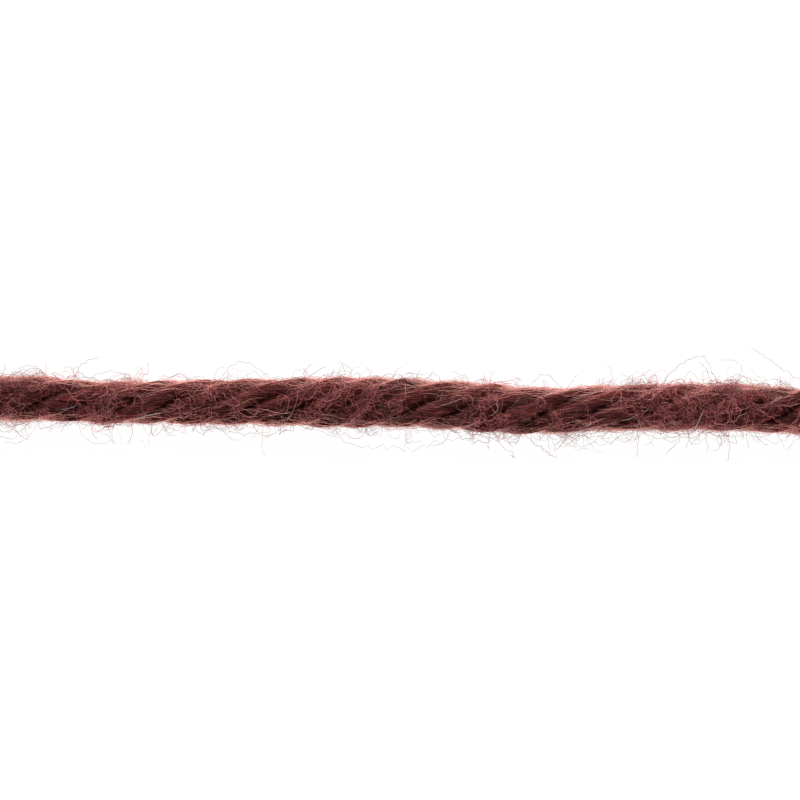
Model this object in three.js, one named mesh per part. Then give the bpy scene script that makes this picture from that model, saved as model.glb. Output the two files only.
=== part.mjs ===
import * as THREE from 'three';

// Knitting yarn: one strand of thick wool, made of five plies twisted together, cut off plainly at both ends.
// It lies straight along X on the plane Z = 0. Sizes are in millimetres and Z points up.

const plyCount = 5;
const columnsPerPly = 8; // facets across the face of one ply
const ringsPerSection = 4; // rings of points from one section to the next
const grooveDepth = 0.3; // from a ply's crown down to the groove beside it
const grooveSharpness = 3; // how late the ply's face turns down into the groove
const flattening = 0.2; // how far the strand settles on its underside where it rests
const woolColor = 0x6b3a38;

// One section for each ply that comes over the strand, from one cut end to the other. The twist turns by one ply
// between two sections, so wide spacing is slack twist. Along and side place the strand's middle.
const sections = [
  { along: -36.0, side: 0.48, thickness: 3.05 },
  { along: -33.4, side: 0.49, thickness: 3 },
  { along: -30.8, side: 0.48, thickness: 3.02 },
  { along: -28.1, side: 0.48, thickness: 3.08 },
  { along: -25.3, side: 0.43, thickness: 3.04 },
  { along: -22.4, side: 0.24, thickness: 2.9 },
  { along: -19.3, side: 0.21, thickness: 2.92 },
  { along: -16.4, side: 0.22, thickness: 3.04 },
  { along: -13.2, side: 0.19, thickness: 3.13 },
  { along: -9.9, side: 0.23, thickness: 3.22 },
  { along: -6.6, side: 0.19, thickness: 3.4 },
  { along: -3.6, side: 0.16, thickness: 3.53 },
  { along: -1.0, side: 0.19, thickness: 3.48 },
  { along: 1.8, side: 0.08, thickness: 3.32 },
  { along: 5.1, side: -0.1, thickness: 3.39 },
  { along: 7.8, side: -0.31, thickness: 3.38 },
  { along: 11.0, side: -0.4, thickness: 3.14 },
  { along: 14.8, side: -0.2, thickness: 3.11 },
  { along: 18.8, side: -0.16, thickness: 3.3 },
  { along: 22.1, side: -0.17, thickness: 3.2 },
  { along: 25.3, side: -0.21, thickness: 3.24 },
  { along: 28.2, side: -0.41, thickness: 3.2 },
  { along: 31.0, side: -0.31, thickness: 3.3 },
  { along: 33.5, side: -0.21, thickness: 3.2 },
  { along: 36.0, side: -0.16, thickness: 3.1 },
];

// A smooth curve through the sections, whose three coordinates are along, side and thickness.
const route = new THREE.CatmullRomCurve3(
  sections.map((section) => new THREE.Vector3(section.along, section.side, section.thickness)),
  false,
  'catmullrom',
);

// The strand's radius beside a ply's crown. Across runs from -1 in one groove, over 0 on the crown, to 1 in the next.
function radiusAt(thickness, across) {
  return thickness / 2 - grooveDepth * Math.abs(across) ** grooveSharpness;
}

// A closed cylinder of radius 1 and length 1 is carried along the route: its side becomes the five twisted plies and
// its ends the two flat cuts. The underside stops at the plane that the strand rests on.
function makeStrand() {
  const sectionSteps = sections.length - 1;
  const geometry = new THREE.CylinderGeometry(
    1,
    1,
    1,
    plyCount * columnsPerPly,
    sectionSteps * ringsPerSection,
  );
  geometry.rotateZ(-Math.PI / 2);
  const points = geometry.attributes.position;
  const section = new THREE.Vector3();
  for (let i = 0; i < points.count; i += 1) {
    const share = THREE.MathUtils.clamp(points.getX(i) + 0.5, 0, 1);
    const onRing = Math.atan2(points.getY(i), points.getZ(i));
    const outward = Math.hypot(points.getY(i), points.getZ(i));
    const plyPlace = (onRing / (2 * Math.PI)) * plyCount;
    const across = 2 * THREE.MathUtils.euclideanModulo(plyPlace, 1) - 1;
    const around = onRing + (share * sectionSteps * 2 * Math.PI) / plyCount;
    route.getPoint(share, section);
    const reach = outward * radiusAt(section.z, across);
    const middleHeight = section.z / 2 - flattening;
    points.setXYZ(
      i,
      section.x,
      section.y + reach * Math.sin(around),
      Math.max(0, middleHeight + reach * Math.cos(around)),
    );
  }
  geometry.computeVertexNormals();
  return geometry;
}

const yarn = new THREE.Mesh(
  makeStrand(),
  new THREE.MeshStandardMaterial({ color: woolColor, roughness: 0.95, metalness: 0 }),
);
yarn.name = 'yarn';

const object = new THREE.Group();
object.add(yarn);

export default object;
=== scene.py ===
import bpy
import numpy as np
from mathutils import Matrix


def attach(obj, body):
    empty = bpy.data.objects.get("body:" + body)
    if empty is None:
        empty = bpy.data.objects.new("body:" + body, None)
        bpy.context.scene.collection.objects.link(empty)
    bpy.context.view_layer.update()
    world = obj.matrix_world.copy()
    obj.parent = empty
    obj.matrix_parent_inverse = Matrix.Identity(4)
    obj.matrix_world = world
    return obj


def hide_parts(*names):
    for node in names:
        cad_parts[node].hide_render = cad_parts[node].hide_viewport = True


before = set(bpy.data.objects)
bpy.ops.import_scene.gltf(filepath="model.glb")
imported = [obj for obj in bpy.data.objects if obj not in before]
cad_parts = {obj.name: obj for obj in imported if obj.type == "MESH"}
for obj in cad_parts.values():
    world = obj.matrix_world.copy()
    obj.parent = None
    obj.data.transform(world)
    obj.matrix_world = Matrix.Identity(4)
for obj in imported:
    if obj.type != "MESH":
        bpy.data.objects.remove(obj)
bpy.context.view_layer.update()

# Knitting yarn: a cut length of one thick strand, five wool plies twisted together, that lies straight on the
# floor. Every size is in metres; mm turns the millimetres below into them.
mm = 0.001
random = np.random.default_rng(7)


# A table's rows as dictionaries, by the names of its columns.
def namedRows(columns, *rows):
    return [dict(zip(columns.split(), row)) for row in rows]


strand = {
    "plies": 5,
    "flattening": 0.2 * mm,  # how far the strand settles where it rests
    "thickness": 3.2 * mm,  # the middle of its thick and thin places
    "length": 72 * mm,
}

# One section for each ply that comes over the strand, as in the solid: the middle's place along and side, and
# the thickness, in millimetres. From one section to the next the twist turns by one ply.
sections = namedRows(
    "along side thickness",
    (-36.0, 0.48, 3.05),
    (-33.4, 0.49, 3.0),
    (-30.8, 0.48, 3.02),
    (-28.1, 0.48, 3.08),
    (-25.3, 0.43, 3.04),
    (-22.4, 0.24, 2.9),
    (-19.3, 0.21, 2.92),
    (-16.4, 0.22, 3.04),
    (-13.2, 0.19, 3.13),
    (-9.9, 0.23, 3.22),
    (-6.6, 0.19, 3.4),
    (-3.6, 0.16, 3.53),
    (-1.0, 0.19, 3.48),
    (1.8, 0.08, 3.32),
    (5.1, -0.1, 3.39),
    (7.8, -0.31, 3.38),
    (11.0, -0.4, 3.14),
    (14.8, -0.2, 3.11),
    (18.8, -0.16, 3.3),
    (22.1, -0.17, 3.2),
    (25.3, -0.21, 3.24),
    (28.2, -0.41, 3.2),
    (31.0, -0.31, 3.3),
    (33.5, -0.21, 3.2),
    (36.0, -0.16, 3.1),
)
lastSection = len(sections) - 1

print("camera")
camera = {
    "pictureWidth": 57.92 * mm,  # how much of the strand the picture shows
    "middle": 0.374 * mm,  # across the strand
    "height": 1.4 * mm,  # the height at which that width is measured
    "lens": 100,
    "sensor": 36,
    "nearest": 10 * mm,
}
cameraData = bpy.data.cameras.new("camera")
cameraData.lens = camera["lens"]
cameraData.sensor_width = camera["sensor"]
cameraData.clip_start = camera["nearest"]
cameraObject = bpy.data.objects.new("camera", cameraData)
cameraDistance = camera["pictureWidth"] * camera["lens"] / camera["sensor"]
cameraObject.location = (0, camera["middle"], camera["height"] + cameraDistance)
bpy.context.collection.objects.link(cameraObject)
bpy.context.scene.camera = cameraObject
bpy.context.scene.view_settings.view_transform = "Standard"
bpy.context.scene.cycles.denoising_prefilter = "NONE"  # keeps the fibres crisp


# The strand's middle at section number s: a cubic through the four nearest sections, whose slope at each
# is half the step from the section before to the one after. Past each end stands one more section in
# line. Gives the places along and side, and the thickness.
def middleAt(s):
    rows = np.array([[row["along"], row["side"], row["thickness"]] for row in sections]) * mm
    rows = np.vstack([2 * rows[0] - rows[1], rows, 2 * rows[-1] - rows[-2]])
    first = np.clip(np.floor(s), 0, lastSection - 1).astype(int)
    t = (s - first)[..., None]
    before, here, after, beyond = (rows[first + i] for i in range(4))
    curve = here + 0.5 * t * (after - before)
    curve = curve + 0.5 * t**2 * (2 * before - 5 * here + 4 * after - beyond)
    curve = curve + 0.5 * t**3 * (3 * here - before - 3 * after + beyond)
    return curve[..., 0], curve[..., 1], curve[..., 2]


# The section number at a place along the strand, read back from 40 points a section of the curve above.
def sectionAt(along):
    s = np.linspace(0, lastSection, 40 * lastSection + 1)
    return np.interp(along, middleAt(s)[0], s)


# A smooth curve through one row of random values that stand a step apart along s: from each value to the
# next it is blended by a raised cosine.
def wander(values, row, s, step):
    place = np.clip(s / step, 0, values.shape[1] - 1.001)
    left = np.floor(place).astype(int)
    blend = 0.5 - 0.5 * np.cos(np.pi * (place - left))
    return values[row, left] * (1 - blend) + values[row, left + 1] * blend


plyUnevenness = {
    "grooveShift": 0.09,  # share of a ply by which a groove wanders
    "crownRise": 0.05 * mm,  # how much one ply stands above the next
    "step": 1.7,  # sections from one random value to the next
}
wanderCount = int(lastSection / plyUnevenness["step"]) + 3
grooveWander = random.uniform(-1, 1, (strand["plies"], wanderCount)) * plyUnevenness["grooveShift"]
crownWander = random.uniform(-1, 1, (strand["plies"], wanderCount)) * plyUnevenness["crownRise"]


# Where v, in plies round the ring, lies across its own ply: -1 in one groove, 0 on the crown, 1 in the next.
# The groove between two plies wanders a little along the strand.
def acrossPly(s, v):
    ply = np.floor(v).astype(int) % strand["plies"]
    nextPly = (ply + 1) % strand["plies"]
    leftShift = wander(grooveWander, ply, s, plyUnevenness["step"])
    rightShift = wander(grooveWander, nextPly, s, plyUnevenness["step"])
    part = (v - np.floor(v) - leftShift) / (1 + rightShift - leftShift)
    return np.clip(2 * part - 1, -1, 1), ply


# The place round the ring, in plies, at a part across ply number ply: the reverse of acrossPly.
def plyPlace(s, ply, across):
    leftShift = wander(grooveWander, ply % strand["plies"], s, plyUnevenness["step"])
    rightShift = wander(grooveWander, (ply + 1) % strand["plies"], s, plyUnevenness["step"])
    return ply + leftShift + (across + 1) / 2 * (1 + rightShift - leftShift)


# Where the fuzz stands thickest on the strand: millimetres along it, and degrees round it from straight up,
# positive towards the far side.
fuzzPatches = namedRows(
    "along spread turned turnedSpread share",
    (-33.0, 1.5, 0, 50, 9),
    (-27.2, 1.2, 10, 45, 15),
    (-22.3, 0.7, -25, 15, 3),
    (-21.4, 0.35, -5, 35, 7),
    (-20.0, 0.6, 35, 20, 4),
    (-14.4, 0.9, -15, 25, 8),
    (-12.6, 0.9, 30, 20, 5),
    (-5.4, 2.0, 5, 35, 24),
    (6.5, 1.7, 0, 45, 13),
    (13.0, 1.5, -30, 20, 3),
    (18.5, 1.9, 5, 30, 16),
    (23.2, 1.9, 20, 30, 15),
    (29.2, 0.7, -20, 30, 4),
    (33.0, 1.5, 0, 50, 8),
)

plySection = {
    "power": 2.1,  # 2 is a round ply, more is a squarer one, pressed against its neighbours
    "gap": 0.22,  # share of its half width that lies flat at the bottom of the groove
    "core": 0.58,  # the ply's own middle, as a share of the strand's radius
    "lip": 0.9,  # how high felted wool fills a groove, as a share of that radius
    "filling": (-0.7, 0.35),  # the range of how much it is filled where there is no fuzz
    "felting": 2.0,  # how much more it is filled under the fuzz's patches
    "fullness": (0.18, 0.9),  # where both are cut off
    "fillStep": 1.1,  # sections from one random value to the next
}
fillCount = int(lastSection / plySection["fillStep"]) + 3
grooveFill = random.uniform(*plySection["filling"], (strand["plies"], fillCount))


# How thick the fuzz is at a place along and round the strand: for each patch its share times a bell curve in
# both directions, the higher the narrower it is.
def fuzzThickness(along, turned):
    turned = np.degrees(np.angle(np.exp(1j * turned)))
    thickness = 0 * turned
    for patch in fuzzPatches:
        alongSteps = (along / mm - patch["along"]) / patch["spread"]
        turnedSteps = (turned - patch["turned"]) / patch["turnedSpread"]
        height = patch["share"] / (patch["spread"] * patch["turnedSpread"])
        thickness = thickness + height * np.exp(-0.5 * (alongSteps**2 + turnedSteps**2))
    return thickness


# Distance of a ply's face from the strand's middle: a superellipse, high on the crown and deep in the groove.
# Where the groove is filled, the face rises by that share of the way to the lip.
def plyReach(s, ply, across):
    along, _, thickness = middleAt(s)
    core = plySection["core"] * thickness / 2
    fromCrown = np.minimum(np.abs(across) / (1 - plySection["gap"]), 1)
    bulge = (1 - fromCrown ** plySection["power"]) ** (1 / plySection["power"])
    crown = wander(crownWander, ply, s, plyUnevenness["step"])
    face = core + (thickness / 2 + crown - core) * bulge
    groove = np.where(across < 0, ply, ply + 1) % strand["plies"]
    felt = plySection["felting"] * fuzzThickness(along, 2 * np.pi * (groove + s) / strand["plies"])
    fill = (wander(grooveFill, groove, s, plySection["fillStep"]) + felt).clip(*plySection["fullness"])
    return face + fill * np.maximum(plySection["lip"] * thickness / 2 - face, 0)


# A point of the strand from its section number, its place round the ring in plies, which the twist turns
# by one ply a section, and its distance from the middle. Nothing reaches below the height least over the
# floor.
def strandPoint(s, v, reach, least):
    along, side, thickness = middleAt(s)
    around = 2 * np.pi * (v + s) / strand["plies"]
    height = thickness / 2 - strand["flattening"] + reach * np.cos(around)
    return np.stack([along, side + reach * np.sin(around), np.maximum(height, least)], axis=-1)


# Puts points, quads and triangles into a mesh object, with a map to bake on and a shade for each point.
def makeMesh(name, points, quads, triangles, quadMap, triangleMap, shades):
    mesh = bpy.data.meshes.new(name)
    corners = np.concatenate([quads.ravel(), triangles.ravel()]).astype(np.int32)
    quadStarts = np.arange(len(quads)) * 4
    triangleStarts = len(quads) * 4 + np.arange(len(triangles)) * 3
    mesh.vertices.add(len(points))
    mesh.vertices.foreach_set("co", points.astype(np.float32).ravel())
    mesh.loops.add(len(corners))
    mesh.loops.foreach_set("vertex_index", corners)
    mesh.polygons.add(len(quads) + len(triangles))
    mesh.polygons.foreach_set("loop_start", np.concatenate([quadStarts, triangleStarts]).astype(np.int32))
    mesh.update(calc_edges=True)
    mesh.shade_smooth()
    bakeMap = mesh.uv_layers.new(name="OFBake")
    mapPoints = np.concatenate([quadMap.reshape(-1, 2), triangleMap.reshape(-1, 2)])
    bakeMap.uv.foreach_set("vector", mapPoints.astype(np.float32).ravel())
    mesh.attributes.new("shade", "FLOAT", "POINT").data.foreach_set("value", shades.astype(np.float32))
    piece = bpy.data.objects.new(name, mesh)
    bpy.context.collection.objects.link(piece)
    return piece


# Faces on the map, given by the places across and up of each of their corners, as one array.
def mapFaces(*corners):
    places = np.broadcast_arrays(*[place for corner in corners for place in corner])
    return np.stack(places, -1).reshape(*places[0].shape, len(corners), 2)


cellMargin = 0.08  # the part of a fibre's cell on the map that stays bare at each side


# Thin closed tubes, one for each row of paths: rings of a few points, carried along by turning each
# ring's first direction only as much as the path bends, and closed by a point just past each end. Each
# fibre has its own cell on the map, its length to the right and its girth upwards. Shades has one value a
# fibre.
def makeFibres(name, paths, radii, shades, sides=3):
    count, rings, _ = paths.shape
    steps = np.gradient(paths, axis=1)
    lengths = np.linalg.norm(steps, axis=2, keepdims=True)
    directions = steps / np.maximum(lengths, 1e-9)
    start = np.where(np.abs(directions[:, 0, 2:3]) < 0.9, [[0.0, 0.0, 1.0]], [[0.0, 1.0, 0.0]])
    sideways = np.empty_like(paths)
    for ring in range(rings):
        start = start - np.sum(start * directions[:, ring], axis=1, keepdims=True) * directions[:, ring]
        start = start / np.maximum(np.linalg.norm(start, axis=1, keepdims=True), 1e-9)
        sideways[:, ring] = start
    upwards = np.cross(directions, sideways)
    turn = 2 * np.pi * np.arange(sides) / sides
    spokes = sideways[:, :, None] * np.cos(turn)[:, None] + upwards[:, :, None] * np.sin(turn)[:, None]
    ringPoints = paths[:, :, None] + radii[:, :, None, None] * spokes
    firstTips = paths[:, :1] - directions[:, :1] * radii[:, :1, None]
    lastTips = paths[:, -1:] + directions[:, -1:] * radii[:, -1:, None]
    points = np.concatenate([ringPoints.reshape(count, -1, 3), firstTips, lastTips], axis=1)
    points[..., 2] = np.maximum(points[..., 2], 0)

    onSide = np.arange(sides)
    nextSide = (onSide + 1) % sides
    onRing = np.arange(rings - 1)[:, None] * sides
    nextRing = onRing + sides
    oneTube = np.stack([onRing + onSide, onRing + nextSide, nextRing + nextSide, nextRing + onSide], -1)
    lastRing = (rings - 1) * sides
    firstCap = np.stack([nextSide, onSide, np.full(sides, rings * sides)], -1)
    lastCap = np.stack([lastRing + onSide, lastRing + nextSide, np.full(sides, rings * sides + 1)], -1)
    oneCaps = np.concatenate([firstCap, lastCap])
    each = points.shape[1] * np.arange(count)[:, None, None]
    quads = (oneTube.reshape(1, -1, 4) + each).reshape(-1, 4)
    triangles = (oneCaps[None] + each).reshape(-1, 3)

    cells = int(np.ceil(np.sqrt(count)))
    cell = np.stack([np.arange(count) % cells, np.arange(count) // cells], -1)[:, None, None] + cellMargin
    cellSize = 1 - 2 * cellMargin
    across = (np.arange(rings - 1)[:, None] + 1) / (rings + 1)
    span = 1 / (rings + 1)
    up = onSide / sides
    rise = 1 / sides
    tubeMap = mapFaces((across, up), (across, up + rise), (across + span, up + rise), (across + span, up))
    firstMap = mapFaces((span, up + rise), (span, up), (0, up + rise / 2))
    lastMap = mapFaces((1 - span, up), (1 - span, up + rise), (1, up + rise / 2))
    quadMap = (cell + cellSize * tubeMap.reshape(-1, 4, 2)) / cells
    triangleMap = (cell + cellSize * np.concatenate([firstMap, lastMap])) / cells
    pointShades = np.repeat(shades, points.shape[1])
    return makeMesh(name, points.reshape(-1, 3), quads, triangles, quadMap, triangleMap, pointShades)


# A fibre's radius along its length: full in the middle, and less by the fourth power of the way from
# there, down to a share of it at both ends.
def taper(radius, rings, endShare=0.5):
    t = np.linspace(-1, 1, rings)
    return radius[:, None] * (1 - (1 - endShare) * np.abs(t) ** 4)


# The radii of fibres of one kind: half its diameter, each a little thinner or thicker.
def fibreRadii(kind, count, thinnest=0.5, thickest=1.6):
    return 0.5 * kind["diameter"] * random.normal(1, kind["diameterSpread"], count).clip(thinnest, thickest)


# Values for fibres from the values of the bunches that they lie in: each differs from its bunch by a spread.
def alike(values, perBunch, spread):
    return (np.repeat(values, perBunch) + random.normal(0, spread, len(values) * perBunch))[:, None]


print("strand")
plyShells = {
    "columns": 22,
    "ringsPerSection": 12,
    "grooveGap": 0.02,  # share of a ply left open between neighbours
    "inset": 0.03 * mm,  # the shells lie this far under the fibres
    "inwards": 0.9,  # how far a ply reaches from its own middle to the strand's
    "cutUnevenness": 0.25 * mm,
    "cutShade": 0.5,
}
plyMap = {
    "bands": 0.9,  # the height that the plies' sides take up on the map, one band for each
    "bandGap": 0.005,
    "margin": 0.01,
    "capStart": 0.05,  # the cut ends stand in a row over the bands
    "capStep": 0.09,
    "capHeight": 0.965,
    "capRadius": 0.03,
}


# Each ply is a profile of that superellipse, closed on itself, carried along the strand as the twist
# turns it. Its two ends are closed by a fan to one point, a little past the last ring. A point's shade is
# its distance from the strand's middle, from 0 there to 1 at a crown; the ply wool paints shade and light
# by it, a little less red and greyer deep in the grooves.
def makePlyShells():
    columns, plies = plyShells["columns"], strand["plies"]
    rings = plyShells["ringsPerSection"] * lastSection + 1
    turn = 2 * np.pi * np.arange(columns) / columns
    s, ply, q = np.meshgrid(np.linspace(0, lastSection, rings), np.arange(plies), turn, indexing="ij")
    share = 2 / plySection["power"]
    across = (1 - plyShells["grooveGap"]) * np.sign(np.sin(q)) * np.abs(np.sin(q)) ** share
    upwards = np.sign(np.cos(q)) * np.abs(np.cos(q)) ** share
    thickness = middleAt(s)[2]
    core = plySection["core"] * thickness / 2
    face = plyReach(s, ply, across) - plyShells["inset"] * np.abs(upwards)
    reach = np.where(upwards > 0, face, core * (1 + plyShells["inwards"] * upwards))
    points = strandPoint(s, plyPlace(s, ply, across), reach, 0.0)
    tips = points[[0, -1]].mean(axis=2)
    cuts = random.uniform(0, 1, (2, plies)) * plyShells["cutUnevenness"]
    towardsMiddle = np.array([[1], [-1]])
    points[[0, -1], :, :, 0] += (towardsMiddle * cuts)[:, :, None]
    tips[:, :, 0] += towardsMiddle * (cuts - 0.5 * plyShells["cutUnevenness"])
    allPoints = np.concatenate([points.transpose(1, 0, 2, 3).reshape(-1, 3), tips[0], tips[1]])
    # This shade drives painted shade and light: deep in the grooves the ply wool turns a little less red and
    # greyer.
    shades = (2 * reach / thickness).transpose(1, 0, 2).ravel()
    shades = np.concatenate([shades, np.full(2 * plies, plyShells["cutShade"])])

    here = np.arange(columns)
    after = (here + 1) % columns
    ring = np.arange(rings - 1)[:, None] * columns
    nextRing = ring + columns
    oneShell = np.stack([ring + here, nextRing + here, nextRing + after, ring + after], -1)
    shellStart = np.arange(plies)[:, None] * rings * columns
    quads = (oneShell.reshape(1, -1, 4) + shellStart[:, :, None]).reshape(-1, 4)
    lastRing = shellStart + (rings - 1) * columns
    firstTip = plies * rings * columns + np.arange(plies)[:, None] + 0 * here
    firstCaps = np.stack([shellStart + here, shellStart + after, firstTip], -1)
    lastCaps = np.stack([lastRing + after, lastRing + here, firstTip + plies], -1)
    triangles = np.concatenate([firstCaps, lastCaps]).reshape(-1, 3)

    bandHeight = plyMap["bands"] / plies
    up = np.arange(plies)[:, None, None] * (bandHeight + plyMap["bandGap"]) + bandHeight * here / columns
    rise = bandHeight / columns
    mapWidth = 1 - 2 * plyMap["margin"]
    right = plyMap["margin"] + mapWidth * np.arange(rings - 1)[:, None] / (rings - 1)
    step = mapWidth / (rings - 1)
    quadMap = mapFaces((right, up), (right + step, up), (right + step, up + rise), (right, up + rise))
    capPlaces = plyMap["capStart"] + plyMap["capStep"] * np.arange(2 * plies)
    capMiddle = mapFaces((capPlaces, plyMap["capHeight"]))
    rim = capMiddle + plyMap["capRadius"] * np.stack([np.cos(turn), np.sin(turn)], -1)
    capMap = np.stack([rim, np.roll(rim, -1, axis=1), capMiddle + 0 * rim], axis=-2)
    capMap[plies:, :, [0, 1]] = capMap[plies:, :, [1, 0]]
    return makeMesh("yarnStrand", allPoints, quads, triangles, quadMap, capMap, shades)


yarnStrand = makePlyShells()

print("laid fibres")
laidFibres = {
    "pieces": 3,
    "locks": 620,  # in each piece; a lock is a small bunch of fibres that lie together
    "perLock": 5,
    "rings": 7,
    "diameter": 0.045 * mm,
    "diameterSpread": 0.25,
    "pastEnds": 0.3,  # how far past the strand's ends a lock may be drawn, in sections, before it is moved in
    "lockLength": 0.15,  # how far its fibres lie apart, in sections
    "lockWidth": 0.14,  # how far they lie apart across a ply, which is 2 wide
    "offCrown": 0.8,  # how far from its ply's crown a lock may lie
    "edge": 0.97,  # how far from it a fibre may lie
    "tilt": 0.22,  # 0 runs straight along the strand, 1 along its ply
    "tiltSpread": 0.16,
    "tiltInLock": 0.05,
    "tiltRange": (-0.2, 0.7),
    "reachAcross": 0.9,  # how near to the grooves a long fibre's ends come
    "shortest": 0.5,  # as a share of the longest
    "lockLift": 0.08 * mm,
    "lift": 0.02 * mm,
    "crimp": 0.05,  # sideways waves
    "shade": (1.6, 2.3),  # of a beta distribution
    "shadeInLock": 0.18,
}


# A fibre lies on its ply's face: its place across runs from one groove to the other while s goes on, at
# the fibre's own tilt, with two slow waves. Its height follows the ply's face, and both ends sink a
# little into it.
def makeLaidFibres(name):
    locks, perLock, rings = (laidFibres[key] for key in ("locks", "perLock", "rings"))
    pastEnds, offCrown, edge = (laidFibres[key] for key in ("pastEnds", "offCrown", "edge"))
    count = locks * perLock
    t = np.linspace(-1, 1, rings)[None]
    ply = np.repeat(random.integers(0, strand["plies"], locks), perLock)[:, None]
    middle = random.uniform(-pastEnds, lastSection + pastEnds, locks)
    middle = alike(middle, perLock, laidFibres["lockLength"])
    tilt = random.normal(laidFibres["tilt"], laidFibres["tiltSpread"], locks)
    tilt = alike(tilt, perLock, laidFibres["tiltInLock"]).clip(*laidFibres["tiltRange"])
    offset = alike(random.uniform(-offCrown, offCrown, locks), perLock, laidFibres["lockWidth"])
    lockLift = alike(laidFibres["lockLift"] * random.uniform(-0.5, 1, locks), perLock, 0)
    lengths = random.uniform(laidFibres["shortest"], 1, count)[:, None]
    halfSpan = laidFibres["reachAcross"] * lengths * 0.5 / (1 - tilt)
    middle = np.clip(middle, halfSpan, lastSection - halfSpan)
    s = middle + t * halfSpan
    crimp = laidFibres["crimp"] * random.normal(0, 1, (count, 2))
    phase = random.uniform(0, 2 * np.pi, (count, 2))
    waves = sum(crimp[:, [i]] * np.sin(pace * t + phase[:, [i]]) for i, pace in enumerate((2, 4)))
    across = np.clip(-2 * (1 - tilt) * (s - middle) + waves + offset, -edge, edge)
    lift = (lockLift + laidFibres["lift"] * random.uniform(0, 1, count)[:, None]) * (1 - t**2)
    radius = fibreRadii(laidFibres, count)
    reach = plyReach(s, ply, across) + lift - radius[:, None]
    paths = strandPoint(s, plyPlace(s, ply, across), reach, radius[:, None])
    shades = alike(random.beta(*laidFibres["shade"], locks), perLock, laidFibres["shadeInLock"])
    return makeFibres(name, paths, taper(radius, rings), shades[:, 0].clip(0, 1))


laidPieces = [makeLaidFibres(f"laidFibres{number + 1}") for number in range(laidFibres["pieces"])]


# Angles round the strand, from straight up, that leave out the part just over the floor.
def openAngles(count, bare):
    return random.uniform(-1, 1, count) * (np.pi - bare)


crownPart = 0.9  # how far from a ply's crown its surface is read where a fibre bridges the grooves


# How far from the strand's middle its surface lies for a fibre that bridges the grooves: a dip of 0 keeps
# to the crowns, and a dip of 1 follows the plies.
def bridgedReach(s, turned, dip):
    radius = middleAt(s)[2] / 2
    across, ply = acrossPly(s, turned / (2 * np.pi) * strand["plies"] - s)
    return radius + dip * (plyReach(s, ply, np.clip(across, -crownPart, crownPart)) - radius)


# A point of the strand from its place along, the angle round from straight up, and its distance from the
# middle.
def turnedPoint(along, turned, reach, least):
    s = sectionAt(np.clip(along, -strand["length"] / 2, strand["length"] / 2))
    side, thickness = middleAt(s)[1:]
    height = thickness / 2 - strand["flattening"] + reach * np.cos(turned)
    return np.stack([along, side + reach * np.sin(turned), np.maximum(height, least)], axis=-1)


print("long fibres")
longFibres = {
    "count": 1650,
    "rings": 10,
    "length": 3.8 * mm,
    "lengthSpread": 0.35,
    "diameter": 0.024 * mm,
    "diameterSpread": 0.25,
    "slant": 0.12,  # mean slope over the strand, along its twist
    "slantSpread": 0.16,
    "wave": 0.09 * mm,
    "waveLengths": (3.7 * mm, 1.7 * mm),
    "lift": 0.07 * mm,
    "highest": 2.5,  # times the lift
    "liftWave": 0.6,
    "liftWaveLength": 2.3 * mm,
    "endPart": 0.125,  # the part at each end that goes into the wool
    "endSink": 0.08 * mm,
    "dip": 0.4,
    # Most lie at the sides, where their pale wool is painted rim light.
    "sideShare": 0.93,  # the part of them at the strand's two sides
    "sideSpread": 0.36,  # in radians round the strand
    "bareUnderside": 0.7,
    "shade": (1.5, 1.8),
}


# A long fibre runs nearly straight along the strand over plies and grooves, with slow waves to the side
# and in its height. Its two ends sink into the wool.
def makeLongFibres():
    count, rings = longFibres["count"], longFibres["rings"]
    t = np.linspace(-0.5, 0.5, rings)[None]
    length = longFibres["length"] * np.exp(random.normal(0, longFibres["lengthSpread"], count))[:, None]
    reachEnd = 0.5 * (strand["length"] - length)
    along = random.uniform(-1, 1, count)[:, None] * reachEnd + t * length
    slope = random.normal(longFibres["slant"], longFibres["slantSpread"], count)[:, None]
    phase = random.uniform(0, 2 * np.pi, (count, 3))
    size = longFibres["wave"] * random.normal(0, 1, (count, 2))
    waves = sum(
        size[:, [i]] * np.sin(2 * np.pi * along / waveLength + phase[:, [i]])
        for i, waveLength in enumerate(longFibres["waveLengths"])
    )
    arc = slope * t * length + waves
    sideways = random.choice([-1, 1], count) * random.normal(np.pi / 2, longFibres["sideSpread"], count)
    atSide = random.uniform(0, 1, count) < longFibres["sideShare"]
    places = np.where(atSide, sideways, openAngles(count, longFibres["bareUnderside"]))
    turned = places[:, None] + arc / (strand["thickness"] / 2)
    height = longFibres["lift"] * random.exponential(1, count).clip(0, longFibres["highest"])[:, None]
    swell = np.sin(2 * np.pi * along / longFibres["liftWaveLength"] + phase[:, [2]])
    height = height * (1 + longFibres["liftWave"] * swell)
    ends = np.clip((0.5 - np.abs(t)) / longFibres["endPart"], 0, 1)
    radius = fibreRadii(longFibres, count)
    reach = bridgedReach(sectionAt(along), turned, longFibres["dip"])
    reach = reach + height * ends - longFibres["endSink"] * (1 - ends)
    paths = turnedPoint(along, turned, reach, radius[:, None])
    return makeFibres("longFibres", paths, taper(radius, rings), random.beta(*longFibres["shade"], count))


longPiece = makeLongFibres()

print("fuzz")

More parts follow.
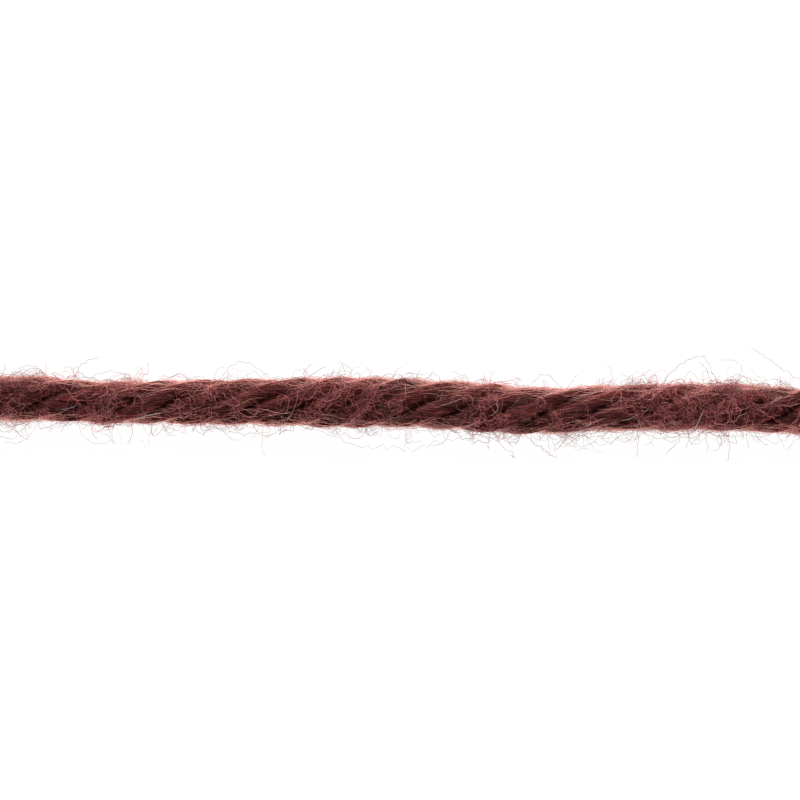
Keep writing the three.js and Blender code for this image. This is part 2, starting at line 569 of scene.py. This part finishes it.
# Where the curls stand thickest off its two sides.
haloPatches = namedRows(
    "along spread turned turnedSpread share",
    (-27.2, 1.3, 85, 18, 7),
    (-15.6, 1.8, 85, 18, 6),
    (-12.9, 0.4, 85, 15, 3),
    (-8.6, 0.3, 80, 15, 4),
    (-3.6, 2.4, 85, 18, 14),
    (3.5, 2.6, 85, 18, 10),
    (10.5, 0.6, 80, 18, 7),
    (17.0, 2.2, 85, 18, 7),
    (22.9, 1.2, 85, 18, 10),
    (27.0, 1.4, 85, 18, 7),
    (-33.0, 1.6, 85, 20, 6),
    (33.0, 1.6, 85, 20, 6),
    (-26.4, 1.5, -90, 18, 4),
    (-21.0, 1.2, -90, 20, 11),
    (-17.7, 0.5, -90, 15, 5),
    (-13.0, 2.0, -90, 18, 10),
    (-8.5, 1.0, -90, 18, 4),
    (-2.5, 2.0, -90, 18, 9),
    (4.3, 1.2, -90, 18, 4),
    (7.9, 0.6, -90, 18, 10),
    (12.2, 1.8, -90, 18, 11),
    (18.3, 1.8, -90, 18, 14),
    (24.0, 1.8, -90, 18, 9),
    (28.4, 0.9, -90, 18, 6),
    (-33.0, 1.6, -90, 18, 7),
    (33.0, 1.6, -90, 18, 7),
)
fuzz = {
    "pieces": 2,
    "clumps": 170,  # in each piece; the tufts gather in them
    "clumpWidth": 0.45 * mm,
    "tufts": 430,  # in each piece; a tuft is a few fibres that wander together
    "perTuft": 2,
    "tuftWidth": 0.13 * mm,
    "patches": fuzzPatches,
    "patchShare": 0.85,  # the part of it that is in the patches
    "rings": 20,
    "rise": (0.18, 0.68),  # the angle at which a fibre leaves the wool
    "arch": (1.0 * mm, 3.4 * mm),  # the radius at which it bends back to it
    "nearSize": 1.0,  # how much larger the arches are on the near side
    "crimp": 0.15,  # waves in its slope
    "swing": 0.45,  # waves in its heading
    "waveLengths": (1.9 * mm, 1.0 * mm),
    "bend": 1.8 / mm,  # how fast its heading turns
    "longest": 3.5 * mm,
    "freeShare": 0.25,  # fibres with one end loose
    "diameter": 0.029 * mm,
    "diameterSpread": 0.3,
}
halo = {
    "pieces": 1,
    "clumps": 320,
    "clumpWidth": 0.4 * mm,
    "tufts": 820,
    "perTuft": 2,
    "tuftWidth": 0.15 * mm,
    "patches": haloPatches,
    "patchShare": 0.75,
    "rings": 20,
    "rise": (0.25, 1.3),
    "arch": (0.25 * mm, 1.15 * mm),
    "nearSize": 1.4,
    "crimp": 0.2,
    "swing": 0.45,
    "waveLengths": (1.8 * mm, 0.9 * mm),
    "bend": 1.0 / mm,
    "longest": 4 * mm,
    "freeShare": 0.3,
    "diameter": 0.023 * mm,
    "diameterSpread": 0.2,
}
bareUnderside = 1.0  # how far round from straight below there is no fuzz

# What both kinds of curls share.
curls = {
    "lastPlace": 0.49,  # how far from the strand's middle they start, as a share of its length
    "sink": 0.04 * mm,  # how deep their ends go into the wool
    "dip": 0.5,
    "inTuft": 0.15,  # how far the fibres of a tuft differ in rise, arch and bend, as a share
    "riseRange": (0.05, 2.6),
    "largestArch": 1.3,  # times the most that a tuft has
    "lengthRange": (0.9, 1.3),  # as a share of the way from wool to wool
    "shortest": 0.5 * mm,
    "freeLength": 0.7,  # how much of its length a loose fibre has
    "freeBend": 0.5,  # how much of its bend
    "heading": 0.35,  # mean way that they set off, in radians from the strand's own, to either end
    "headingSpread": 0.9,
    "headingInTuft": 0.25,
    "phaseInTuft": 0.4,
    "swingInTuft": 0.2,
    "crimpPace": 1.3,  # waves in the slope for each one in the heading
    "shade": (1.5, 1.3),
    "shadeInTuft": 0.1,
}


# Places of tufts along and round the strand: each is near one of the clumps, and some of the clumps are
# in the patches and the others anywhere.
def tuftPlaces(size):
    patches, clumps, tufts = size["patches"], size["clumps"], size["tufts"]
    shares = np.array([patch["share"] for patch in patches])
    chosen = random.choice(len(patches), clumps, p=shares / shares.sum())

    def scattered(place, spread):
        places, spreads = (np.array([patch[key] for patch in patches])[chosen] for key in (place, spread))
        return random.normal(places, spreads)

    inPatch = random.uniform(0, 1, clumps) < size["patchShare"]
    anywhere = random.uniform(-0.5, 0.5, clumps) * strand["length"]
    along = np.where(inPatch, scattered("along", "spread") * mm, anywhere)
    turned = np.radians(scattered("turned", "turnedSpread"))
    turned = np.where(inPatch, turned, openAngles(clumps, bareUnderside))
    clump = random.integers(0, clumps, tufts)
    offsets = size["clumpWidth"] * random.normal(0, 1, (2, tufts))
    along = along[clump] + offsets[0]
    turned = turned[clump] + offsets[1] / (strand["thickness"] / 2)
    lastPlace = curls["lastPlace"] * strand["length"]
    return np.clip(along, -lastPlace, lastPlace), turned


# A curly fibre leaves the strand's surface at its rise and bends back to it along its arch, so its slope
# at a distance is rise minus distance over arch, plus two waves. Its heading on the unrolled surface
# turns at its bend, with two waves of its own. The running sums of both directions give its place, which
# is wrapped round the strand. A loose fibre bends half as much and stops in the air. Fibres of a tuft are
# much alike.
def makeCurlyFibres(name, size):
    tufts, perTuft, rings = size["tufts"], size["perTuft"], size["rings"]
    count = tufts * perTuft
    inTuft = curls["inTuft"]
    along, turned = tuftPlaces(size)
    along = alike(along, perTuft, size["tuftWidth"])
    turned = alike(turned, perTuft, 2 * size["tuftWidth"] / strand["thickness"])
    rise = alike(random.uniform(*size["rise"], tufts), perTuft, inTuft * size["rise"][1])
    rise = rise.clip(*curls["riseRange"])
    smallest, largest = size["arch"]
    arch = alike(random.uniform(smallest, largest, tufts), perTuft, inTuft * largest)
    arch = arch.clip(smallest, curls["largestArch"] * largest)
    arch = arch * np.where(np.sin(turned) < 0, size["nearSize"], 1)
    free = random.uniform(0, 1, count)[:, None] < size["freeShare"]
    length = 2 * rise * arch * random.uniform(*curls["lengthRange"], count)[:, None]
    length = (length * np.where(free, curls["freeLength"], 1)).clip(curls["shortest"], size["longest"])
    distance = np.linspace(0, 1, rings)[None] * length
    slope = rise - distance / arch * np.where(free, curls["freeBend"], 1)
    heading = random.normal(curls["heading"], curls["headingSpread"], tufts)
    heading = alike(heading + np.pi * random.integers(0, 2, tufts), perTuft, curls["headingInTuft"])
    bend = alike(random.normal(0, size["bend"], tufts), perTuft, inTuft * size["bend"])
    heading = heading + bend * distance
    for waveLength in size["waveLengths"]:
        phase = alike(random.uniform(0, 2 * np.pi, tufts), perTuft, curls["phaseInTuft"])
        turn = 2 * np.pi * distance / waveLength + phase
        swing = size["swing"] * alike(random.normal(0, 1, tufts), perTuft, curls["swingInTuft"])
        heading = heading + swing * np.sin(turn)
        crimp = size["crimp"] * random.normal(0, 1, count)[:, None]
        slope = slope + crimp * np.sin(curls["crimpPace"] * turn)
    step = length / (rings - 1)
    along = along + np.cumsum(np.cos(slope) * np.cos(heading) * step, axis=1)
    turned = turned + np.cumsum(np.cos(slope) * np.sin(heading) * step, axis=1) / (strand["thickness"] / 2)
    height = np.maximum(np.cumsum(np.sin(slope) * step, axis=1), 0) - curls["sink"]
    radius = fibreRadii(size, count)
    reach = bridgedReach(sectionAt(along), turned, curls["dip"]) + height
    paths = turnedPoint(along, turned, reach, radius[:, None])
    shades = alike(random.beta(*curls["shade"], tufts), perTuft, curls["shadeInTuft"])
    return makeFibres(name, paths, taper(radius, rings), shades[:, 0].clip(0, 1))


fuzzPieces = [makeCurlyFibres(f"fuzz{number + 1}", fuzz) for number in range(fuzz["pieces"])]
haloPieces = [makeCurlyFibres(f"halo{number + 1}", halo) for number in range(halo["pieces"])]

print("single hairs")

# Hairs that stand far off the far side, 1, or the near side, -1, in millimetres: where each leaves the
# wool and where it ends along the strand, how far out it reaches, how much of that it comes down again,
# where 0 is a tail and 1 a whole arch, how far its middle leans along the strand, and how large its waves
# are.
strayHairs = namedRows(
    "side start end reach fall lean wave",
    (1, -31.5, -30.3, 1.3, 0.9, 0.1, 0.06),
    (1, -28.9, -28.5, 1.0, 0.1, 0.15, 0.05),
    (1, -23.7, -21.9, 1.9, 0.0, -0.3, 0.06),
    (1, -23.0, -19.4, 0.95, 0.9, 0.2, 0.07),
    (1, -13.2, -9.6, 1.5, 0.85, -0.2, 0.06),
    (1, -7.0, -6.3, 1.2, 0.0, -0.15, 0.04),
    (1, -4.6, -4.0, 1.2, 0.8, 0.1, 0.04),
    (1, -3.0, -2.3, 0.95, 0.1, 0.1, 0.05),
    (1, 1.2, 1.5, 0.9, 0.0, -0.1, 0.04),
    (1, 5.2, 3.6, 0.9, 0.1, 0.1, 0.08),
    (1, 9.3, 11.7, 1.2, 0.9, -0.1, 0.05),
    (1, 11.95, 12.8, 1.05, 0.0, 0.1, 0.05),
    (1, 17.1, 18.3, 1.2, 0.25, 0.0, 0.04),
    (1, 18.8, 22.0, 2.25, 0.0, -0.2, 0.06),
    (1, 22.6, 21.6, 1.75, 0.0, 0.1, 0.04),
    (1, 23.1, 22.0, 2.3, 0.0, -0.1, 0.05),
    (1, 23.9, 22.9, 2.0, 0.1, 1.3, 0.05),
    (1, 30.4, 25.6, 2.9, 0.0, -0.9, 0.08),
    (1, 33.2, 32.1, 1.2, 0.1, 0.2, 0.06),
    (-1, -33.4, -31.8, 1.1, 0.9, 0.2, 0.06),
    (-1, -30.2, -30.6, 1.2, 0.0, 0.1, 0.05),
    (-1, -19.4, -19.6, 1.65, 0.0, 0.15, 0.04),
    (-1, -14.9, -13.8, 0.95, 0.9, 0.0, 0.08),
    (-1, -13.0, -10.0, 0.95, 0.9, 0.2, 0.1),
    (-1, -7.2, 5.2, 1.75, 0.9, 0.4, 0.25),
    (-1, 3.4, 6.6, 1.0, 0.4, 0.0, 0.14),
    (-1, 5.8, 7.9, 1.9, 0.3, 1.2, 0.1),
    (-1, 7.2, 8.2, 1.1, 0.0, 0.1, 0.06),
    (-1, 8.7, 11.4, 1.95, 0.0, 0.3, 0.08),
    (-1, 11.6, 13.9, 0.7, 0.9, 0.0, 0.06),
    (-1, 12.9, 15.4, 1.25, 0.9, 0.4, 0.08),
    (-1, 17.2, 16.9, 2.1, 0.0, 0.1, 0.05),
    (-1, 18.5, 17.5, 1.2, 0.1, 0.2, 0.05),
    (-1, 20.9, 20.8, 1.5, 0.0, 0.05, 0.04),
    (-1, 22.1, 22.2, 1.85, 0.0, 0.05, 0.04),
    (-1, 23.2, 23.4, 1.3, 0.0, -0.05, 0.05),
    (-1, 23.8, 23.7, 2.4, 0.0, 0.1, 0.05),
    (-1, 25.0, 25.1, 1.5, 0.0, 0.1, 0.04),
    (-1, 25.2, 26.5, 1.1, 0.0, 0.1, 0.08),
    (-1, 31.2, 32.6, 1.5, 0.2, 0.3, 0.06),
)
strays = {
    "rings": 26,
    "diameter": 0.03 * mm,
    "diameterSpread": 0.2,
    "thinnest": 0.6,
    "thickest": 1.5,
    "tipShare": 0.6,
    "root": 0.15 * mm,  # how deep in the wool it starts
    "waveLength": 1.3 * mm,
    "wavesAlong": 0.7,  # along the strand, for each wave outwards
    "ripple": 0.4,  # finer waves on them
    "ripplePace": 2.3,
    "tilt": 0.15,  # how far it stands up from level, in radians
    "tiltSpread": 0.3,
    "shade": (1.5, 3),
}


# A table's values under one key, one below the other.
def tableColumn(rows, key):
    return np.array([row[key] for row in rows])[:, None]


# A stray hair's distance out is its reach times the sine of its way, a quarter turn for a tail and a half
# turn for an arch. It leans by a half sine along the strand, and waves with finer ripples run along it in
# both directions.
def makeStrays():
    t = np.linspace(0, 1, strays["rings"])[None]
    side, fall = (tableColumn(strayHairs, key) for key in ("side", "fall"))
    sizes = (tableColumn(strayHairs, key) * mm for key in ("start", "end", "reach", "lean", "wave"))
    start, end, reach, lean, wave = sizes
    count = len(strayHairs)
    turns = (np.abs(end - start) + 2 * reach) / strays["waveLength"]
    phase = random.uniform(0, 2 * np.pi, (count, 2))

    def waves(number, pace):
        angle = 2 * np.pi * pace * turns * t + phase[:, [number]]
        ripple = strays["ripple"] * np.sin(strays["ripplePace"] * angle + 1)
        return wave * np.sin(np.pi * t) ** 0.5 * (np.sin(angle) + ripple)

    out = reach * np.sin(np.pi / 2 * (1 + fall) * t) + waves(0, 1)
    along = start + (end - start) * t + lean * np.sin(np.pi * t) + waves(1, strays["wavesAlong"])
    s = sectionAt(np.clip(along, -strand["length"] / 2, strand["length"] / 2))
    edgeSide, thickness = middleAt(s)[1:]
    tilt = random.normal(strays["tilt"], strays["tiltSpread"], count)[:, None]
    radius = fibreRadii(strays, count, strays["thinnest"], strays["thickest"])
    y = edgeSide + side * (thickness / 2 - strays["root"] + out)
    z = thickness / 2 - strand["flattening"] + np.tan(tilt) * out
    paths = np.stack([along, y, np.maximum(z, radius[:, None])], -1)
    radii = taper(radius, strays["rings"], strays["tipShare"])
    return makeFibres("strayHairs", paths, radii, random.beta(*strays["shade"], count))


strayPiece = makeStrays()

# Coarse hairs of another shade that lie over the plies, in millimetres: where each starts and ends along and
# across the strand, how far its middle leans along, its diameter, and its shade from black, 0, to white, 1.
coarseHairs = namedRows(
    "x1 y1 x2 y2 lean diameter shade",
    (-32.4, 0.2, -31.0, 0.7, 0.1, 0.03, 0.6),
    (-24.83, -0.31, -22.73, 0.13, 0.2, 0.05, 0.0),
    (-24.4, -0.3, -23.3, -0.12, 0.0, 0.03, 0.4),
    (-19.26, -0.93, -17.16, -0.62, 0.05, 0.05, 0.8),
    (2.9, -0.06, 4.78, 0.52, 0.0, 0.03, 0.35),
    (6.44, -0.82, 6.88, 0.12, 0.3, 0.03, 0.6),
    (12.6, -1.11, 13.03, -1.27, 0.05, 0.03, 0.8),
    (13.32, -1.41, 13.68, -1.18, 0.15, 0.03, 0.8),
    (15.93, -1.29, 17.2, -0.6, 0.0, 0.04, 0.6),
    (21.16, -1.76, 21.88, -0.24, -0.05, 0.042, 0.95),
    (24.18, -0.93, 24.94, -0.54, 0.0, 0.03, 0.6),
    (31.5, -0.5, 32.9, 0.1, 0.1, 0.03, 0.6),
)
coarse = {
    "rings": 12,
    "sides": 5,
    "lift": 0.2 * mm,
    "dip": 0.5,
}


# A coarse hair goes from end to end with a half sine along the strand, and follows the wool's height at
# its place.
def makeCoarseHairs():
    t = np.linspace(0, 1, coarse["rings"])[None]
    x1, y1, x2, y2, lean = (tableColumn(coarseHairs, key) * mm for key in ("x1", "y1", "x2", "y2", "lean"))
    along = x1 + (x2 - x1) * t + lean * np.sin(np.pi * t)
    s = sectionAt(along)
    edgeSide, thickness = middleAt(s)[1:]
    across = (y1 + (y2 - y1) * t - edgeSide) / (thickness / 2)
    turned = np.arcsin(across)
    reach = bridgedReach(s, turned, coarse["dip"]) + coarse["lift"] * np.sin(np.pi * t) ** 0.5
    radius = 0.5 * tableColumn(coarseHairs, "diameter")[:, 0] * mm
    paths = turnedPoint(along, turned, reach, radius[:, None])
    shades = tableColumn(coarseHairs, "shade")[:, 0]
    return makeFibres("coarseHairs", paths, taper(radius, coarse["rings"]), shades, coarse["sides"])


coarsePiece = makeCoarseHairs()

print("cut ends")
cutFibres = {
    "perEnd": 480,
    "rings": 5,
    "diameter": 0.036 * mm,
    "diameterSpread": 0.25,
    "tipShare": 0.7,
    "sectionLength": 2.55 * mm,  # along the strand, at its ends
    "inside": 0.6 * mm,
    "outside": (0.05 * mm, 1.1 * mm),
    "outsideSpread": (1, 2.5),  # of a beta distribution between those two
    "fullness": 0.92,  # how far out in their ply's section they stand
    "splay": 0.3,
    "splayMean": 0.6,  # times the splay
    "shade": (2, 2),
}


# Fibres that stand out of the two cuts. Each starts at a random place of its ply's section a little
# inside, and goes on past the cut with the twist while its place in the section grows by the square of
# its way times the splay.
def makeCutFibres():
    perEnd, rings, inside = (cutFibres[key] for key in ("perEnd", "rings", "inside"))
    count = 2 * perEnd
    t = np.linspace(0, 1, rings)[None]
    end = np.repeat([0, lastSection], perEnd)[:, None]
    outwards = np.repeat([-1, 1], perEnd)[:, None]
    shortest, longest = cutFibres["outside"]
    outside = shortest + (longest - shortest) * random.beta(*cutFibres["outsideSpread"], count)[:, None]
    past = t * (inside + outside) - inside
    s = end + outwards * past / cutFibres["sectionLength"]
    ply = random.integers(0, strand["plies"], count)[:, None]
    turn = random.uniform(0, 2 * np.pi, count)[:, None]
    spread = cutFibres["fullness"] * np.sqrt(random.uniform(0, 1, count))[:, None]
    growth = 1 + cutFibres["splay"] * random.normal(cutFibres["splayMean"], 1, count)[:, None] * t**2
    across = spread * np.sin(turn) * growth
    upwards = spread * np.cos(turn) * growth
    thickness = middleAt(s)[2]
    core = plySection["core"] * thickness / 2
    reach = core + upwards * np.where(upwards > 0, thickness / 2 - core, plyShells["inwards"] * core)
    radius = fibreRadii(cutFibres, count)
    paths = strandPoint(s, ply + (across + 1) / 2, reach, radius[:, None])
    radii = taper(radius, rings, cutFibres["tipShare"])
    return makeFibres("cutFibres", paths, radii, random.beta(*cutFibres["shade"], count))


cutPiece = makeCutFibres()

print("materials")
woolNoise = {
    "clouds": {"Scale": 450, "Detail": 3},
    "grain": {"Scale": 9000, "Detail": 2},
    "grainStrength": 0.35,
    "scaleDepth": 0.01 * mm,  # of the bump
}


# Sets inputs of a node, by their names or numbers.
def setInputs(node, values):
    for key, value in values.items():
        node.inputs[key].default_value = value


# Adds a shader node of a kind to a tree, with its settings and its inputs.
def addNode(tree, kind, values=(), **settings):
    node = tree.nodes.new(f"ShaderNode{kind}")
    for name, setting in settings.items():
        setattr(node, name, setting)
    setInputs(node, dict(values))
    return node


# A shader group: one colour for a fibre from dark to light by its shade, made uneven by slow clouds over the
# strand and fine grain, and a height for the bump of the fibre's scales.
def makeWoolGroup():
    group = bpy.data.node_groups.new("woolColour", "ShaderNodeTree")
    sockets = {
        "INPUT": {"Shade": "Float", "Dark": "Color", "Light": "Color", "Cloudiness": "Float"},
        "OUTPUT": {"Color": "Color", "Height": "Float"},
    }
    for direction, kinds in sockets.items():
        for name, kind in kinds.items():
            group.interface.new_socket(name, in_out=direction, socket_type=f"NodeSocket{kind}")
    inside = group.nodes.new("NodeGroupInput")
    outside = group.nodes.new("NodeGroupOutput")
    grainStrength = woolNoise["grainStrength"]
    place = addNode(group, "TexCoord")
    clouds = addNode(group, "TexNoise", woolNoise["clouds"])
    grain = addNode(group, "TexNoise", woolNoise["grain"])
    centred = addNode(group, "Math", {1: 0.5}, operation="SUBTRACT")
    clouded = addNode(group, "Math", operation="MULTIPLY_ADD")
    fine = addNode(group, "Math", {1: grainStrength}, operation="MULTIPLY_ADD")
    lowered = addNode(group, "Math", {1: grainStrength / 2}, operation="SUBTRACT")
    mix = addNode(group, "Mix", data_type="RGBA")
    links = [
        (place.outputs["Object"], clouds.inputs["Vector"]),
        (place.outputs["Object"], grain.inputs["Vector"]),
        (clouds.outputs["Fac"], centred.inputs[0]),
        (centred.outputs[0], clouded.inputs[0]),
        (inside.outputs["Cloudiness"], clouded.inputs[1]),
        (inside.outputs["Shade"], clouded.inputs[2]),
        (grain.outputs["Fac"], fine.inputs[0]),
        (clouded.outputs[0], fine.inputs[2]),
        (fine.outputs[0], lowered.inputs[0]),
        (lowered.outputs[0], mix.inputs["Factor"]),
        (inside.outputs["Dark"], mix.inputs["A"]),
        (inside.outputs["Light"], mix.inputs["B"]),
        (mix.outputs["Result"], outside.inputs["Color"]),
        (grain.outputs["Fac"], outside.inputs["Height"]),
    ]
    for fromSocket, toSocket in links:
        group.links.new(fromSocket, toSocket)
    return group


woolGroup = makeWoolGroup()


# Wool on a piece: the group's colour between two of its own by the points' shade, and a matt surface with
# a fine bump.
def makeWool(name, look):
    material = bpy.data.materials.new(name)
    material.use_nodes = True
    tree = material.node_tree
    shader = tree.nodes["Principled BSDF"]
    shade = addNode(tree, "Attribute", attribute_name="shade")
    wool = addNode(tree, "Group", node_tree=woolGroup)
    bump = addNode(tree, "Bump", {"Strength": look["bump"], "Distance": woolNoise["scaleDepth"]})
    setInputs(wool, {"Dark": (*look["dark"], 1), "Light": (*look["light"], 1)})
    setInputs(wool, {"Cloudiness": look["cloudiness"]})
    setInputs(shader, {"Roughness": look["roughness"], "Specular IOR Level": look["specular"]})
    tree.links.new(shade.outputs["Fac"], wool.inputs["Shade"])
    tree.links.new(wool.outputs["Color"], shader.inputs["Base Color"])
    tree.links.new(wool.outputs["Height"], bump.inputs["Height"])
    tree.links.new(bump.outputs["Normal"], shader.inputs["Normal"])
    return material


woolLooks = {
    # Painted shade and light in the grooves: 'dark', the colour deep down, is a little less red and greyer
    # than the crowns' 'light'.
    "plyWoolAndPaintedGrooveLight": {
        "pieces": [yarnStrand],
        "dark": (0.15, 0.085, 0.08),
        "light": (0.165, 0.05, 0.047),
        "cloudiness": 0.4,
        "roughness": 1.0,
        "specular": 0.0,
        "bump": 0.5,
    },
    "laidWool": {
        "pieces": [*laidPieces, cutPiece],
        "dark": (0.066, 0.023, 0.0215),
        "light": (0.285, 0.068, 0.0645),
        "cloudiness": 0.5,
        "roughness": 0.8,
        "specular": 0.0,
        "bump": 0.2,
    },
    # Painted rim light: these fibres lie mostly at the strand's sides, and their pale colour stands in for
    # light shining through the wool there.
    "longWoolPaintedRimLight": {
        "pieces": [longPiece],
        "dark": (0.44, 0.19, 0.167),
        "light": (0.73, 0.37, 0.32),
        "cloudiness": 0.3,
        "roughness": 0.6,
        "specular": 0.0,
        "bump": 0.2,
    },
    "fuzzWool": {
        "pieces": fuzzPieces,
        "dark": (0.165, 0.046, 0.044),
        "light": (0.52, 0.163, 0.155),
        "cloudiness": 0.3,
        "roughness": 0.5,
        "specular": 0.05,
        "bump": 0.2,
    },
    "haloWool": {
        "pieces": [*haloPieces, strayPiece],
        "dark": (0.17, 0.083, 0.074),
        "light": (0.385, 0.212, 0.185),
        "cloudiness": 0.3,
        "roughness": 0.6,
        "specular": 0.1,
        "bump": 0.2,
    },
    "coarseWool": {
        "pieces": [coarsePiece],
        "dark": (0.02, 0.014, 0.014),
        "light": (0.85, 0.72, 0.68),
        "cloudiness": 0.2,
        "roughness": 0.35,
        "specular": 0.4,
        "bump": 0.2,
    },
}
for name, look in woolLooks.items():
    wool = makeWool(name, look)
    for piece in look["pieces"]:
        piece.data.materials.append(wool)

print("floor and light")
table = {
    "size": 4.0,
    "depth": 0.02 * mm,  # under the strand's flat underside
    "colour": (0.03, 0.03, 0.03),
    "glow": 0.99,  # a lit white table, as bright as the picture's ground
    "light": 6.15,  # the light that it gives the strand from below
}
half = table["size"] / 2
corners = [(-half, -half), (half, -half), (half, half), (-half, half)]
floorMesh = bpy.data.meshes.new("floor")
floorMesh.from_pydata([(x, y, -table["depth"]) for x, y in corners], [], [(0, 1, 2, 3)])
floor = bpy.data.objects.new("floor", floorMesh)
bpy.context.collection.objects.link(floor)
whiteTable = bpy.data.materials.new("whiteTable")
whiteTable.use_nodes = True
tree = whiteTable.node_tree
shader = tree.nodes["Principled BSDF"]
setInputs(shader, {"Base Color": (*table["colour"], 1), "Roughness": 1, "Specular IOR Level": 0})
setInputs(shader, {"Emission Color": (1, 1, 1, 1)})
lightPath = addNode(tree, "LightPath")
strength = addNode(tree, "MapRange", {"To Min": table["light"], "To Max": table["glow"]})
tree.links.new(lightPath.outputs["Is Camera Ray"], strength.inputs["Value"])
tree.links.new(strength.outputs[0], shader.inputs["Emission Strength"])
floorMesh.materials.append(whiteTable)

# The camera sees white all round, and the strand is lit by much less of it.
studio = {
    "colour": (1, 1, 1, 1),
    "light": 0.07,
}
world = bpy.data.worlds.new("studio")
world.use_nodes = True
bpy.context.scene.world = world
tree = world.node_tree
lit = tree.nodes["Background"]
setInputs(lit, {"Color": studio["colour"], "Strength": studio["light"]})
seen = addNode(tree, "Background", {"Color": studio["colour"]})
lightPath = addNode(tree, "LightPath")
either = addNode(tree, "MixShader")
tree.links.new(lightPath.outputs["Is Camera Ray"], either.inputs[0])
tree.links.new(lit.outputs[0], either.inputs[1])
tree.links.new(seen.outputs[0], either.inputs[2])
tree.links.new(either.outputs[0], tree.nodes["World Output"].inputs["Surface"])

# One soft box, low behind the strand.
farBox = {
    "azimuth": 84,  # degrees round from +X
    "elevation": 34,
    "distance": 0.45,
    "power": 2.5,
    "size": 0.3,
}
lightData = bpy.data.lights.new("farBox", "AREA")
lightData.energy = farBox["power"]
lightData.size = farBox["size"]
light = bpy.data.objects.new("farBox", lightData)
azimuth, elevation = np.radians([farBox["azimuth"], farBox["elevation"]])
flat = np.cos(elevation)
towards = np.array([np.cos(azimuth) * flat, np.sin(azimuth) * flat, np.sin(elevation)])
light.location = towards * farBox["distance"]
light.rotation_euler = (np.pi / 2 - elevation, 0, azimuth + np.pi / 2)
bpy.context.collection.objects.link(light)

print("frame")
fibrePieces = [*laidPieces, longPiece, *fuzzPieces, *haloPieces, strayPiece, coarsePiece, cutPiece]
for piece in [yarnStrand, *fibrePieces]:
    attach(piece, "root")
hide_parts("yarn")
triangleCount = sum(len(p.data.loops) - 2 * len(p.data.polygons) for p in [yarnStrand, *fibrePieces])
print("triangles", triangleCount)
